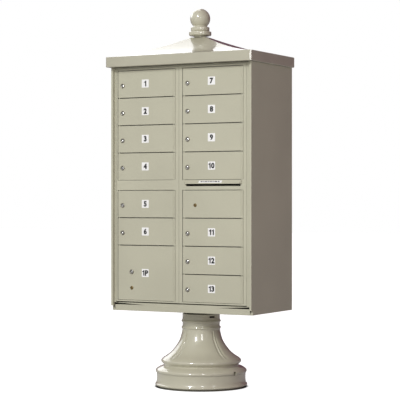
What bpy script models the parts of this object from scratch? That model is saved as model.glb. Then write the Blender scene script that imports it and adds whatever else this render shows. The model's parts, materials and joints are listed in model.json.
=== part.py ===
"""Cluster mailbox unit: a sheet-metal cabinet of thirteen tenant compartments, one parcel locker and one
outgoing mail compartment behind two master doors, under a hip roof with a ball finial, on a covered post.

Units are metres, +Z is up, the doors face -Y and the ground is z = 0.
"""

import math

import bmesh
import bpy
from mathutils import Matrix, Vector

# Heights from the ground
CABINET_BOTTOM = 0.360
ROOF_EDGE = CABINET_BOTTOM + 1.200
FASCIA_HEIGHT = 0.0485

# Cabinet in plan
BODY_HALF_WIDTH = 0.3744
BODY_FRONT = -0.1976
BODY_BACK = 0.2248
DOOR_PLANE = -0.1826
SHEET = 0.0025
GAP = 0.0004
# Thin outlines are filled at this scale, because a curve's fill loses narrow strips at their real size
FILL_SCALE = 100
FLANGE_WIDTH = 0.0102
BODY_TOP = ROOF_EDGE - FASCIA_HEIGHT - 0.0003

# Roof
ROOF_HALF_WIDTH = 0.3875
ROOF_HALF_DEPTH = 0.2285
ROOF_RISE = 0.110
ROOF_SHEET = 0.003
ROOF_FLAT = 0.10
ROOF_RINGS = 10

# Master doors: outer edges, the seam between them, and their heights above the cabinet bottom
MASTER_EDGES = (-0.3552, 0.3423)
MASTER_SEAM = (-0.0119, -0.0109)
MASTER_HEIGHTS = (0.043, 1.1445)
MASTER_PLATE = 0.006
MASTER_LIP = 0.020
MASTER_AXIS_OFFSET = 0.0005
REBATE = 0.0036

# Tenant doors: pitch, clear height, and the two blocks of four rows in each column
ROW_PITCH = 0.130
ROW_GAP = 0.003
BLOCK_TOPS = {"upper": 1.1345, "lower": 0.5683}
BLOCK_ROWS = 4
LEAF = 0.003
BARREL_RADIUS = 0.005
BARREL_INSET = 0.0054
LEAF_GAP = 0.0015
COLUMNS = {
    "left": {"leaf": (-0.3456, -0.0312), "stop": -0.3370},
    "right": {"leaf": (0.0084, 0.3254), "stop": 0.0190},
}

# Locks: place on the leaf, housing, plug and cam
LOCK_INSET = 0.0263
LOCK_DROP = 0.007
PARCEL_LOCK_INSET = 0.0772
PARCEL_LOCK_HEIGHT = 0.184
PARCEL_CARRIER_HEIGHT = 0.108
OUTGOING_LOCK_INSET = 0.0666
HOUSING_RADIUS = 0.011
HOUSING_FACE = 0.0029
HOUSING_BODY = 0.0086
PLUG_RADIUS = 0.0060
PLUG_FACE = 0.0034
PLUG_LENGTH = 0.0081
TAIL_RADIUS = 0.0042
TAIL_LENGTH = 0.0130
CAM_LENGTH = 0.026
CAM_WIDTH = 0.010
CAM_DEPTHS = (0.0081, 0.0106)

# Compartment racks
RACK_FRONT = -0.1560
RACK_BACK = 0.2195
RACK_SHEET = 0.002
SHELVES_ABOVE = (1.1380, 1.0060, 0.8760, 0.7460, 0.6160, 0.4398, 0.3098)
SHELF_IN_LOWER_RIGHT = 0.1798
SHELF_AT_BOTTOM = 0.0435
# Each rack: its wall's outer and inner faces, its shelves' free end, and its shelves' heights
RACKS = {
    "left_shelf_rack": (-0.3560, -0.3540, -0.0140, (*SHELVES_ABOVE, SHELF_AT_BOTTOM)),
    "right_shelf_rack": (-0.0127, -0.0102, 0.3540, (*SHELVES_ABOVE, SHELF_IN_LOWER_RIGHT, SHELF_AT_BOTTOM)),
}

# Outgoing mail slot and its hood
SLOT = (0.0266, 0.3115)
SLOT_HEIGHTS = (0.587, 0.596)
BAND_TOP = 0.6157
HOOD = (0.0200, 0.3180)
HOOD_OVERHANG = 0.014
HOOD_CHAMFER = 0.010

# Carrier's master latch
LATCH_X = (0.0000, 0.0150)
LATCH_HEIGHTS = (0.475, 0.572)
LATCH_FRONT = DOOR_PLANE + MASTER_PLATE + GAP
LATCH_TRAVEL = 0.013
LATCH_STUDS = (0.500, 0.560)
LATCH_STUD_X = 0.0090

# Pedestal
POST_Y = 0.0096
POST_SIDE = 0.100
POST_WALL = 0.004
BASE_PLATE = (0.280, 0.010)
TOP_PLATE = (0.084, 0.348)
ANCHOR_HOLE = (0.110, 0.009)
COVER_OUTSIDE = (
    (0.0890, 0.345),
    (0.0890, 0.318),
    (0.0937, 0.310),
    (0.0887, 0.300),
    (0.0887, 0.288),
    (0.0937, 0.279),
    (0.0900, 0.272),
    (0.0923, 0.260),
    (0.0999, 0.227),
    (0.1090, 0.208),
    (0.1210, 0.189),
    (0.1355, 0.170),
    (0.1570, 0.151),
    (0.1855, 0.132),
    (0.1900, 0.1225),
    (0.1855, 0.113),
    (0.1764, 0.1016),
    (0.1970, 0.094),
    (0.2116, 0.0845),
    (0.2164, 0.075),
    (0.2116, 0.066),
    (0.2105, 0.037),
    (0.2140, 0.020),
    (0.2188, 0.008),
    (0.2150, 0.000),
)
COVER_INSIDE = (
    (0.2090, 0.000),
    (0.2040, 0.066),
    (0.1980, 0.080),
    (0.1700, 0.096),
    (0.1700, 0.120),
    (0.1500, 0.146),
    (0.1290, 0.166),
    (0.1030, 0.206),
    (0.0860, 0.260),
    (0.0830, 0.300),
    (0.0830, 0.345),
)

# Finishes: colour, roughness, metallic
COATING = ((0.491, 0.479, 0.366), 0.45, 0.0)
INNER = ((0.62, 0.62, 0.60), 0.40, 0.9)
CASTING = ((0.43, 0.42, 0.33), 0.22, 0.0)
CHROME = ((0.78, 0.78, 0.78), 0.15, 1.0)
STEEL = ((0.55, 0.55, 0.53), 0.35, 1.0)
BRASS = ((0.45, 0.36, 0.19), 0.30, 1.0)


def clear_scene():
    for obj in list(bpy.data.objects):
        bpy.data.objects.remove(obj, do_unlink=True)


def new_collection(name):
    collection = bpy.data.collections.new(name)
    bpy.context.scene.collection.children.link(collection)
    return collection


def material(finish, name):
    """A Principled material of its own for the named part."""
    colour, roughness, metallic = finish
    made = bpy.data.materials.new(name)
    made.use_nodes = True
    shader = made.node_tree.nodes["Principled BSDF"]
    shader.inputs["Base Color"].default_value = (*colour, 1.0)
    shader.inputs["Roughness"].default_value = roughness
    shader.inputs["Metallic"].default_value = metallic
    return made


def add(name, mesh, origin=(0, 0, 0), finish=None):
    """A part made from a mesh in world coordinates, with its origin at the given point."""
    mesh.transform(Matrix.Translation(-Vector(origin)))
    obj = bpy.data.objects.new(name, mesh)
    obj.location = origin
    if finish:
        parts.objects.link(obj)
        obj.data.materials.append(material(finish, name))
    else:
        cutters.objects.link(obj)
        obj.hide_render = True
        obj.display_type = "WIRE"
    return obj


def block(x, y, z):
    """A box between the given limits."""
    mesh = bpy.data.meshes.new("block")
    shape = bmesh.new()
    bmesh.ops.create_cube(shape, size=1.0)
    size = Vector((x[1] - x[0], y[1] - y[0], z[1] - z[0]))
    centre = Vector((x[1] + x[0], y[1] + y[0], z[1] + z[0])) / 2
    place = Matrix.Translation(centre) @ Matrix.Diagonal(size.to_4d())
    bmesh.ops.transform(shape, matrix=place, verts=shape.verts)
    shape.to_mesh(mesh)
    shape.free()
    return mesh


PLANES = {
    "xy": Matrix.Identity(4),
    "xz": Matrix(((1, 0, 0, 0), (0, 0, -1, 0), (0, 1, 0, 0), (0, 0, 0, 1))),
    "yz": Matrix(((0, 0, 1, 0), (1, 0, 0, 0), (0, 1, 0, 0), (0, 0, 0, 1))),
}


def extrusion(outline, plane, span):
    """A flat outline in the xy, xz or yz plane, made solid across the span."""
    curve = bpy.data.curves.new("outline", "CURVE")
    curve.dimensions = "2D"
    curve.fill_mode = "BOTH"
    curve.extrude = FILL_SCALE * (span[1] - span[0]) / 2
    spline = curve.splines.new("POLY")
    spline.points.add(len(outline) - 1)
    for point, (across, along) in zip(spline.points, outline):
        point.co = (FILL_SCALE * across, FILL_SCALE * along, 0, 1)
    spline.use_cyclic_u = True
    helper = bpy.data.objects.new("outline", curve)
    cutters.objects.link(helper)
    bpy.context.view_layer.update()
    evaluated = helper.evaluated_get(bpy.context.evaluated_depsgraph_get())
    mesh = bpy.data.meshes.new_from_object(evaluated)
    bpy.data.objects.remove(helper, do_unlink=True)
    middle = (span[0] + span[1]) / 2
    place = Matrix.Translation((0, 0, -middle if plane == "xz" else middle))
    mesh.transform(PLANES[plane] @ place @ Matrix.Scale(1 / FILL_SCALE, 4))
    return outward(mesh)


def outward(mesh):
    """The mesh with its caps welded on and its faces turned outwards."""
    shape = bmesh.new()
    shape.from_mesh(mesh)
    bmesh.ops.remove_doubles(shape, verts=shape.verts, dist=1e-6)
    bmesh.ops.recalc_face_normals(shape, faces=shape.faces)
    shape.to_mesh(mesh)
    shape.free()
    return mesh


def turned(name, profile, steps, origin, finish, closed=False):
    """A profile of (radius, height) points, top to bottom on its outer side, turned about the Z axis."""
    mesh = bpy.data.meshes.new(name)
    shape = bmesh.new()
    points = [shape.verts.new((radius, 0, height)) for radius, height in profile]
    for start, end in zip(points, points[1:] + points[:1] if closed else points[1:]):
        shape.edges.new((start, end))
    shape.to_mesh(mesh)
    shape.free()
    obj = add(name, mesh, finish=finish)
    obj.location = origin
    screw = obj.modifiers.new("Turn", "SCREW")
    screw.steps = screw.render_steps = steps
    screw.use_merge_vertices = True
    screw.merge_threshold = 1e-5
    screw.use_normal_calculate = True
    return obj


def rod(radius, y, x, z, segments=16):
    """A cylinder along Y between the given depths."""
    mesh = bpy.data.meshes.new("rod")
    shape = bmesh.new()
    bmesh.ops.create_cone(
        shape, cap_ends=True, segments=segments, radius1=radius, radius2=radius, depth=y[1] - y[0]
    )
    place = Matrix.Translation((x, (y[0] + y[1]) / 2, z)) @ Matrix.Rotation(math.radians(90), 4, "X")
    bmesh.ops.transform(shape, matrix=place, verts=shape.verts)
    shape.to_mesh(mesh)
    shape.free()
    return mesh


def boolean(target, operation, meshes):
    """Cuts the meshes from the target, or joins them to it, in order."""
    for mesh in meshes:
        tool = add(target.name + "_tool", mesh)
        step = target.modifiers.new(operation.title(), "BOOLEAN")
        step.operation = operation
        step.object = tool
    return target


def frozen(obj):
    """The object's mesh with its modifiers applied, and the object removed."""
    bpy.context.view_layer.update()
    mesh = bpy.data.meshes.new_from_object(obj.evaluated_get(bpy.context.evaluated_depsgraph_get()))
    mesh.transform(obj.matrix_world)
    bpy.data.objects.remove(obj, do_unlink=True)
    return outward(mesh)


def arc(centre, radius, start, end, steps):
    """Points on an arc between two angles in degrees, both ends included."""
    for step in range(steps + 1):
        angle = math.radians(start + (end - start) * step / steps)
        yield centre[0] + radius * math.cos(angle), centre[1] + radius * math.sin(angle)


def raised(low, high):
    """Two heights above the cabinet's bottom as heights from the ground."""
    return CABINET_BOTTOM + low, CABINET_BOTTOM + high


# The cabinet


def make_side_panel(side):
    """A side sheet folded round its front edge into a flange proud of the doors, then into a jamb."""
    sign = -1 if side == "left" else 1
    outer = BODY_HALF_WIDTH
    jamb_edge = abs(MASTER_EDGES[0 if sign < 0 else 1]) + 0.0010
    outline = [
        (outer, BODY_FRONT),
        (outer, BODY_BACK),
        (outer - SHEET, BODY_BACK),
        (outer - SHEET, DOOR_PLANE + SHEET),
        (jamb_edge, DOOR_PLANE + SHEET),
        (jamb_edge, DOOR_PLANE),
        (outer - FLANGE_WIDTH, DOOR_PLANE),
        (outer - FLANGE_WIDTH, BODY_FRONT),
    ]
    panel = add(
        side + "_side_panel",
        extrusion([(sign * x, y) for x, y in outline], "xy", (CABINET_BOTTOM + 0.0005, BODY_TOP)),
        finish=COATING,
    )
    reach = (outer + 0.01) * sign
    inner = sign * (outer - SHEET)
    jamb = sorted((sign * 0.30, inner))
    boolean(
        panel,
        "DIFFERENCE",
        [
            block(sorted((sign * 0.30, reach)), (-0.25, DOOR_PLANE + 0.0001), raised(-0.01, 0.022)),
            block(jamb, (DOOR_PLANE - 0.0001, DOOR_PLANE + 0.01), raised(-0.01, 0.0385)),
            block(jamb, (DOOR_PLANE - 0.0001, DOOR_PLANE + 0.01), raised(1.1452, 1.20)),
        ],
    )


def make_floor_pan():
    """The cabinet's folded bottom, with the base rail along its front."""
    front = DOOR_PLANE + 0.0003
    outline = [
        (front, CABINET_BOTTOM),
        (BODY_BACK - 0.0033, CABINET_BOTTOM),
        (BODY_BACK - 0.0033, CABINET_BOTTOM + 0.020),
        (BODY_BACK - 0.0058, CABINET_BOTTOM + 0.020),
        (BODY_BACK - 0.0058, CABINET_BOTTOM + 0.003),
        (front + 0.003, CABINET_BOTTOM + 0.003),
        (front + 0.003, CABINET_BOTTOM + 0.0355),
        (front + 0.020, CABINET_BOTTOM + 0.0355),
        (front + 0.020, CABINET_BOTTOM + 0.038),
        (front, CABINET_BOTTOM + 0.038),
    ]
    half = BODY_HALF_WIDTH - SHEET - GAP
    pan = add("floor_pan", extrusion(outline, "yz", (-half, half)), finish=COATING)
    rail = block((-0.3600, 0.3600), (front - 0.0015, front + 0.0010), raised(0.0010, 0.0275))
    boolean(pan, "UNION", [rail])


def make_top_pan():
    """The cabinet's folded top, which closes the compartments under the roof."""
    front = DOOR_PLANE + GAP
    top = CABINET_BOTTOM + 1.1500
    outline = [
        (front, top),
        (front, top - 0.0042),
        (front + SHEET, top - 0.0042),
        (front + SHEET, top - SHEET),
        (BODY_BACK - 0.0033, top - SHEET),
        (BODY_BACK - 0.0033, top),
    ]
    half = BODY_HALF_WIDTH - SHEET - GAP
    add("top_pan", extrusion(outline, "yz", (-half, half)), finish=COATING)


def make_back_panel():
    half = BODY_HALF_WIDTH - SHEET - GAP
    sheet = block((-half, half), (BODY_BACK - SHEET, BODY_BACK), raised(0.001, 1.1495))
    add("back_panel", sheet, finish=COATING)


def make_rack(name):
    """A wall with a shelf at each height, like a comb."""
    wall_outer, wall_inner, shelf_end, heights = RACKS[name]
    half = RACK_SHEET / 2
    low, high = raised(heights[-1] - half, heights[0] + half)
    outline = [(wall_outer, low), (wall_outer, high)]
    for height in heights:
        middle = CABINET_BOTTOM + height
        if height != heights[0]:
            outline.append((wall_inner, middle + half))
        outline.append((shelf_end, middle + half))
        outline.append((shelf_end, middle - half))
        if height != heights[-1]:
            outline.append((wall_inner, middle - half))
    return add(name, extrusion(outline, "xz", (RACK_FRONT, RACK_BACK)), finish=INNER)


def make_keeper(rack):
    """The hooked tab on the divider that the master latch rises behind."""
    lip = RACK_FRONT - 0.010
    outline = [
        (RACK_FRONT + 0.006, CABINET_BOTTOM + 0.588),
        (lip, CABINET_BOTTOM + 0.588),
        (lip, CABINET_BOTTOM + 0.573),
        (lip + 0.0024, CABINET_BOTTOM + 0.573),
        (lip + 0.0024, CABINET_BOTTOM + 0.5856),
        (RACK_FRONT + 0.006, CABINET_BOTTOM + 0.5856),
    ]
    boolean(rack, "UNION", [extrusion(outline, "yz", (-0.0115, 0.0060))])


# The roof


def make_roof_cap():
    """A soffit lip, a fascia and a hip roof that curves up to the finial's flat seat, as one bent sheet."""
    fascia_bottom = ROOF_EDGE - FASCIA_HEIGHT
    rings = [
        ((-0.3660, 0.3660), (-0.1780, 0.2180), fascia_bottom),
        ((-ROOF_HALF_WIDTH, ROOF_HALF_WIDTH), (-ROOF_HALF_DEPTH, ROOF_HALF_DEPTH), fascia_bottom),
    ]
    for step in range(ROOF_RINGS + 1):
        share = 1 - (1 - ROOF_FLAT) * step / ROOF_RINGS
        half = (ROOF_HALF_WIDTH * share, ROOF_HALF_DEPTH * share)
        height = ROOF_EDGE + ROOF_RISE * (1 - share) ** 1.5
        rings.append(((-half[0], half[0]), (-half[1], half[1]), height))
    shape = bmesh.new()
    x, y, z = rings[0]
    corners = ((x[0], y[0]), (x[1], y[0]), (x[1], y[1]), (x[0], y[1]))
    first = [shape.verts.new((*corner, z)) for corner in corners]
    edges = [shape.edges.new((first[i], first[(i + 1) % 4])) for i in range(4)]
    for x, y, z in rings[1:]:
        made = bmesh.ops.extrude_edge_only(shape, edges=edges)["geom"]
        edges = [item for item in made if isinstance(item, bmesh.types.BMEdge)]
        for corner in {vert for edge in edges for vert in edge.verts}:
            corner.co = (x[corner.co.x > 0], y[corner.co.y > 0], z)
    bmesh.ops.contextual_create(shape, geom=edges)
    bmesh.ops.recalc_face_normals(shape, faces=shape.faces)
    mesh = bpy.data.meshes.new("roof_cap")
    shape.to_mesh(mesh)
    shape.free()
    roof = add("roof_cap", mesh, finish=COATING)
    sheet = roof.modifiers.new("Sheet", "SOLIDIFY")
    sheet.thickness = ROOF_SHEET
    sheet.offset = -1
    sheet.use_even_offset = True


def make_finial():
    """A ball on a flared collar."""
    ball, centre = 0.0475, 0.183
    profile = [(0, centre + ball)]
    profile += list(arc((0, centre), ball, 80, -46, 9))
    profile += [(0.0330, 0.1470), (0.0400, 0.1430), (0.0440, 0.1390), (0.0440, 0.1260), (0.0420, 0.1235)]
    profile += [(0.0515, 0.1225), (0.0530, 0.1200), (0.0530, 0.1035), (0.0510, 0.1015)]
    profile += [(0.0300, 0.0995), (0.0280, 0.0945), (0, 0.0945)]
    turned("finial", profile, 20, (0, 0, ROOF_EDGE), CASTING)


# Doors and locks


def row_heights(block_name, first, last):
    """Bottom and top of a door across the given rows of a block, above the cabinet's bottom."""
    top = BLOCK_TOPS[block_name]
    return top - ROW_PITCH * (last + 1) + ROW_GAP, top - ROW_PITCH * first


def door_list():
    """(name, column, (bottom, top), lock places, carrier lock places) of each door, places as (x, z)."""
    found = []
    layout = {
        "left": [("upper", row) for row in range(4)] + [("lower", 0), ("lower", 1)],
        "right": [("upper", row) for row in range(4)] + [("lower", 1), ("lower", 2), ("lower", 3)],
    }
    number = 0
    for column, rows in layout.items():
        for block_name, row in rows:
            number += 1
            bottom, top = row_heights(block_name, row, row)
            lock = (COLUMNS[column]["leaf"][0] + LOCK_INSET, (bottom + top) / 2 - LOCK_DROP)
            found.append((f"door_{number:02d}", column, (bottom, top), lock, None))
    parcel_x = COLUMNS["left"]["leaf"][0] + PARCEL_LOCK_INSET
    bottom, top = row_heights("lower", 2, 3)
    locks = (parcel_x, PARCEL_LOCK_HEIGHT), (parcel_x, PARCEL_CARRIER_HEIGHT)
    found.append(("parcel_door", "left", (bottom, top), *locks))
    bottom, top = row_heights("lower", 0, 0)
    carrier = (COLUMNS["right"]["leaf"][0] + OUTGOING_LOCK_INSET, (bottom + top) / 2 - LOCK_DROP + 0.001)
    found.append(("outgoing_door", "right", (bottom, top), None, carrier))
    return found


def hinge_x(column):
    return COLUMNS[column]["leaf"][1] - BARREL_INSET


def make_door(name, column, heights, lock, carrier):
    """A leaf rolled into a hinge barrel along its right edge, with a fold line beside the barrel."""
    axis = (hinge_x(column), DOOR_PLANE + BARREL_RADIUS)
    free = COLUMNS[column]["leaf"][0]
    back = DOOR_PLANE + LEAF
    join = 180 + math.degrees(math.asin((BARREL_RADIUS - LEAF) / BARREL_RADIUS))
    outline = [
        (free, back),
        (free, DOOR_PLANE + 0.0006),
        (free + 0.0006, DOOR_PLANE),
        (axis[0] - 0.0062, DOOR_PLANE),
        (axis[0] - 0.0056, DOOR_PLANE + 0.0010),
        (axis[0] - 0.0050, DOOR_PLANE),
    ]
    outline += list(arc(axis, BARREL_RADIUS, -90, join, 8))
    bottom, top = raised(*heights)
    door = add(name, extrusion(outline, "xy", (bottom, top)), (*axis, (bottom + top) / 2), COATING)
    holes = [(place, radius) for place, radius in ((lock, 0.0090), (carrier, 0.0064)) if place]
    depth = (DOOR_PLANE - 0.01, back + 0.01)
    boolean(door, "DIFFERENCE", [rod(radius, depth, x, CABINET_BOTTOM + z) for (x, z), radius in holes])


def y_turned(profile, steps, finish, closed=False):
    """A turned mesh whose profile's heights run out of the door's face, towards -Y."""
    obj = turned("turned", profile, steps, (0, 0, 0), finish, closed)
    obj.rotation_euler.x = math.radians(90)
    return frozen(obj)


def housing_mesh():
    """A face ring and a threaded body through the leaf, round the plug's bore."""
    bore = PLUG_RADIUS + 0.0003
    profile = [
        (bore, HOUSING_FACE),
        (HOUSING_RADIUS - 0.0008, HOUSING_FACE),
        (HOUSING_RADIUS, HOUSING_FACE - 0.0008),
        (HOUSING_RADIUS, 0.0003),
        (HOUSING_BODY, 0.0003),
        (HOUSING_BODY, 0.0003 - 0.0074),
        (bore, 0.0003 - 0.0074),
    ]
    return y_turned(profile, 14, CHROME, closed=True)


def plug_mesh(profile, keyway):
    """A turned plug with a keyway in its face and a cam on its tail, which hangs down when unlocked."""
    plug = add("plug", y_turned(profile, 12, CHROME), finish=CHROME)
    cam_y = CAM_DEPTHS
    half = CAM_WIDTH / 2
    outline = [(-half, half), *arc((0, half - CAM_LENGTH), half, 180, 360, 4), (half, half)]
    boolean(plug, "UNION", [extrusion(outline, "xz", cam_y)])
    face = -profile[0][1]
    slot = block((-0.0008, 0.0008), (face - 0.001, face + 0.0015), (-keyway / 2, keyway / 2))
    boolean(plug, "DIFFERENCE", [slot])
    return frozen(plug)


def make_locks(doors):
    housing = housing_mesh()
    shoulder = -PLUG_LENGTH - 0.0012
    tail = [(PLUG_RADIUS, shoulder), (TAIL_RADIUS, shoulder), (TAIL_RADIUS, -TAIL_LENGTH), (0, -TAIL_LENGTH)]
    face = [(0, PLUG_FACE), (PLUG_RADIUS - 0.0006, PLUG_FACE), (PLUG_RADIUS, PLUG_FACE - 0.0006)]
    plug = plug_mesh([*face, *tail], 0.007)
    brass_face = [(0, 0.0022), (0.0075, 0.0022), (0.0085, 0.0012), (0.0085, 0.0003), (PLUG_RADIUS, 0.0003)]
    brass = plug_mesh([*brass_face, *tail], 0.006)
    for name, _, _, lock, carrier in doors:
        stem = name.replace("door", "lock")
        if lock:
            place = (lock[0], DOOR_PLANE, CABINET_BOTTOM + lock[1])
            copy_at(stem + "_housing", housing, place, CHROME)
            copy_at(stem + "_plug", plug, place, CHROME)
        if carrier:
            place = (carrier[0], DOOR_PLANE, CABINET_BOTTOM + carrier[1])
            copy_at(name.replace("door", "carrier_lock"), brass, place, BRASS)


def copy_at(name, mesh, place, finish):
    """A copy of the mesh as a part of its own, with its origin at the place."""
    copied = mesh.copy()
    copied.materials.clear()
    obj = bpy.data.objects.new(name, copied)
    obj.location = place
    parts.objects.link(obj)
    copied.materials.append(material(finish, name))


def make_master_frame(side, doors):
    """A plate with an opening for each block of doors, a rebate at the locks' edge, and lips on its rim."""
    column = COLUMNS[side]
    left = side == "left"
    x = (MASTER_EDGES[0], MASTER_SEAM[0]) if left else (MASTER_SEAM[1], MASTER_EDGES[1])
    pivot = x[0] - MASTER_AXIS_OFFSET if left else x[1] + MASTER_AXIS_OFFSET
    z = raised(*MASTER_HEIGHTS)
    origin = (pivot, DOOR_PLANE, sum(z) / 2)
    name = side + "_master_frame"
    frame = add(name, block(x, (DOOR_PLANE, DOOR_PLANE + MASTER_LIP), z), origin, COATING)
    plate_back = DOOR_PLANE + MASTER_PLATE
    deep = (plate_back, DOOR_PLANE + 0.03)
    inside = (x[0] + SHEET, x[1] + 0.01) if left else (x[0] - 0.01, x[1] - SHEET)
    seam_side = (x[1] - 0.008, x[1] + 0.01) if left else (x[0] - 0.01, x[0] + 0.008)
    cuts = [
        block(inside, deep, (z[0] + SHEET, z[1] - SHEET)),
        block(seam_side, deep, (z[0] - 0.01, z[1] + 0.01)),
    ]
    barrel = hinge_x(side)
    through = (DOOR_PLANE - 0.01, plate_back + 0.01)
    for top in BLOCK_TOPS.values():
        heights = raised(top - BLOCK_ROWS * ROW_PITCH + ROW_GAP - LEAF_GAP, top + LEAF_GAP)
        cuts.append(block((column["stop"], barrel - BARREL_RADIUS - 0.0010), through, heights))
        rebate = (column["leaf"][0] - LEAF_GAP, column["stop"] + 0.001)
        cuts.append(block(rebate, (DOOR_PLANE - 0.01, DOOR_PLANE + REBATE), heights))
    for _, door_column, (bottom, top), _, _ in doors:
        if door_column == side:
            pocket = (barrel - BARREL_RADIUS - 0.0015, barrel + BARREL_RADIUS + 0.0015)
            cuts.append(block(pocket, through, raised(bottom - 0.0005, top + 0.0005)))
    if not left:
        cuts.append(block(SLOT, through, raised(SLOT_HEIGHTS[0], BAND_TOP + 0.004)))
    boolean(frame, "DIFFERENCE", cuts)
    strike_y = (DOOR_PLANE + REBATE, plate_back)
    if left:
        lock_x = column["leaf"][0] + PARCEL_LOCK_INSET
        strike_z = raised(PARCEL_CARRIER_HEIGHT - 0.018, PARCEL_LOCK_HEIGHT + 0.016)
    else:
        lock_x = column["leaf"][0] + OUTGOING_LOCK_INSET
        strike_z = raised(0.484, 0.514)
    strike = block((column["stop"] - 0.004, lock_x - 0.0176), strike_y, strike_z)
    boolean(frame, "UNION", [strike] + ([] if left else [latch_stud(height) for height in LATCH_STUDS]))


def latch_stud(height):
    """A shouldered stud behind the frame that a slot of the latch slides on."""
    neck, head = 0.0020, 0.0040
    profile = [(0, -0.0046), (neck, -0.0046), (neck, -0.0095), (head, -0.0095), (head, -0.0112), (0, -0.0112)]
    mesh = y_turned(profile, 12, STEEL)
    mesh.transform(Matrix.Translation((LATCH_STUD_X, DOOR_PLANE, CABINET_BOTTOM + height)))
    return mesh


def make_slot_hood():
    """A bar that closes the frame above the outgoing slot, with a wedge in front, chamfered at both ends."""
    back = DOOR_PLANE - 0.0003
    front = DOOR_PLANE - HOOD_OVERHANG
    low, high = raised(SLOT_HEIGHTS[1] + 0.0010, BAND_TOP - 0.0002)
    section = [(back, high), (back, low), (front, low), (front, low + 0.003)]
    hood = add("slot_hood", extrusion(section, "yz", HOOD), finish=COATING)
    ends = []
    for end, inward in ((HOOD[0], 1), (HOOD[1], -1)):
        outside, inside = end - inward * HOOD_CHAMFER, end + inward * HOOD_CHAMFER
        corner = [(outside, front - 0.01), (inside, front - 0.01), (inside, front)]
        corner += [(end, back - 0.002), (outside, back - 0.002)]
        ends.append(extrusion(corner, "xy", (low - 0.01, high + 0.01)))
    boolean(hood, "DIFFERENCE", ends)
    bar_ends = (SLOT[0] + GAP, SLOT[1] - GAP)
    bar = block(bar_ends, (back - 0.003, DOOR_PLANE + MASTER_PLATE), (low, CABINET_BOTTOM + BAND_TOP))
    boolean(hood, "UNION", [bar])


def make_master_latch():
    """A slotted bar behind the right master frame, with a thumb tab and a hook for the divider's keeper."""
    bar_y = (LATCH_FRONT, LATCH_FRONT + SHEET)
    low, high = raised(*LATCH_HEIGHTS)
    latch = add("master_latch", block(LATCH_X, bar_y, (low, high)), finish=STEEL)
    hook = [
        (LATCH_FRONT + 0.001, CABINET_BOTTOM + 0.545),
        (RACK_FRONT - 0.003, CABINET_BOTTOM + 0.545),
        (RACK_FRONT - 0.003, CABINET_BOTTOM + 0.570),
        (RACK_FRONT - 0.006, CABINET_BOTTOM + 0.570),
        (RACK_FRONT - 0.006, CABINET_BOTTOM + 0.555),
        (LATCH_FRONT + 0.001, CABINET_BOTTOM + 0.555),
    ]
    tab = block((LATCH_X[1] - 0.002, 0.0420), (LATCH_FRONT, LATCH_FRONT + 0.0120), raised(0.5300, 0.5325))
    boolean(latch, "UNION", [extrusion(hook, "yz", (LATCH_X[0], LATCH_X[0] + 0.004)), tab])
    slots = []
    for height in LATCH_STUDS:
        span = raised(height - LATCH_TRAVEL - 0.003, height + 0.003)
        width = (LATCH_STUD_X - 0.0025, LATCH_STUD_X + 0.0025)
        slots.append(block(width, (bar_y[0] - 0.01, bar_y[1] + 0.002), span))
    boolean(latch, "DIFFERENCE", slots)


# The pedestal


def make_pedestal_post():
    """A square column welded between a base plate on the ground and a round plate under the cabinet."""
    half = BASE_PLATE[0] / 2
    column = POST_SIDE / 2
    plate = block((-half, half), (POST_Y - half, POST_Y + half), (0, BASE_PLATE[1]))
    post = add("pedestal_post", plate, finish=COATING)
    radius, start = TOP_PLATE
    top = CABINET_BOTTOM - 0.0003
    disc = rod(radius, (start, top), 0, 0, 24)
    disc.transform(Matrix.Translation((0, POST_Y, 0)) @ Matrix.Rotation(math.radians(90), 4, "X"))
    inner_ends = (BASE_PLATE[1] - 0.004, start + 0.004)
    tube = block((-column, column), (POST_Y - column, POST_Y + column), inner_ends)
    boolean(post, "UNION", [tube, disc])
    bore = column - POST_WALL
    holes = [block((-bore, bore), (POST_Y - bore, POST_Y + bore), (-0.01, start - 0.001))]
    for across in (-1, 1):
        for along in (-1, 1):
            hole = rod(ANCHOR_HOLE[1], (-0.01, 0.02), 0, 0, 12)
            place = Matrix.Translation((across * ANCHOR_HOLE[0], POST_Y + along * ANCHOR_HOLE[0], 0))
            hole.transform(place @ Matrix.Rotation(math.radians(90), 4, "X"))
            holes.append(hole)
    boolean(post, "DIFFERENCE", holes)


def make_pedestal_cover():
    """A bell casting that slips over the post and stands on the ground."""
    turned("pedestal_cover", COVER_OUTSIDE + COVER_INSIDE, 30, (0, POST_Y, 0), CASTING, closed=True)


clear_scene()
parts = new_collection("cluster_mailbox")
cutters = new_collection("cutters")

for side in ("left", "right"):
    make_side_panel(side)
make_floor_pan()
make_top_pan()
make_back_panel()
make_rack("left_shelf_rack")
make_keeper(make_rack("right_shelf_rack"))
make_roof_cap()
make_finial()
doors = door_list()
for door in doors:
    make_door(*door)
make_locks(doors)
for side in ("left", "right"):
    make_master_frame(side, doors)
make_slot_hood()
make_master_latch()
make_pedestal_post()
make_pedestal_cover()
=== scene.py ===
# Cluster mailbox unit: finished surfaces, labels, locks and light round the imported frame
import json
import math

import bmesh
import bpy
from mathutils import Matrix, Vector


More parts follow.
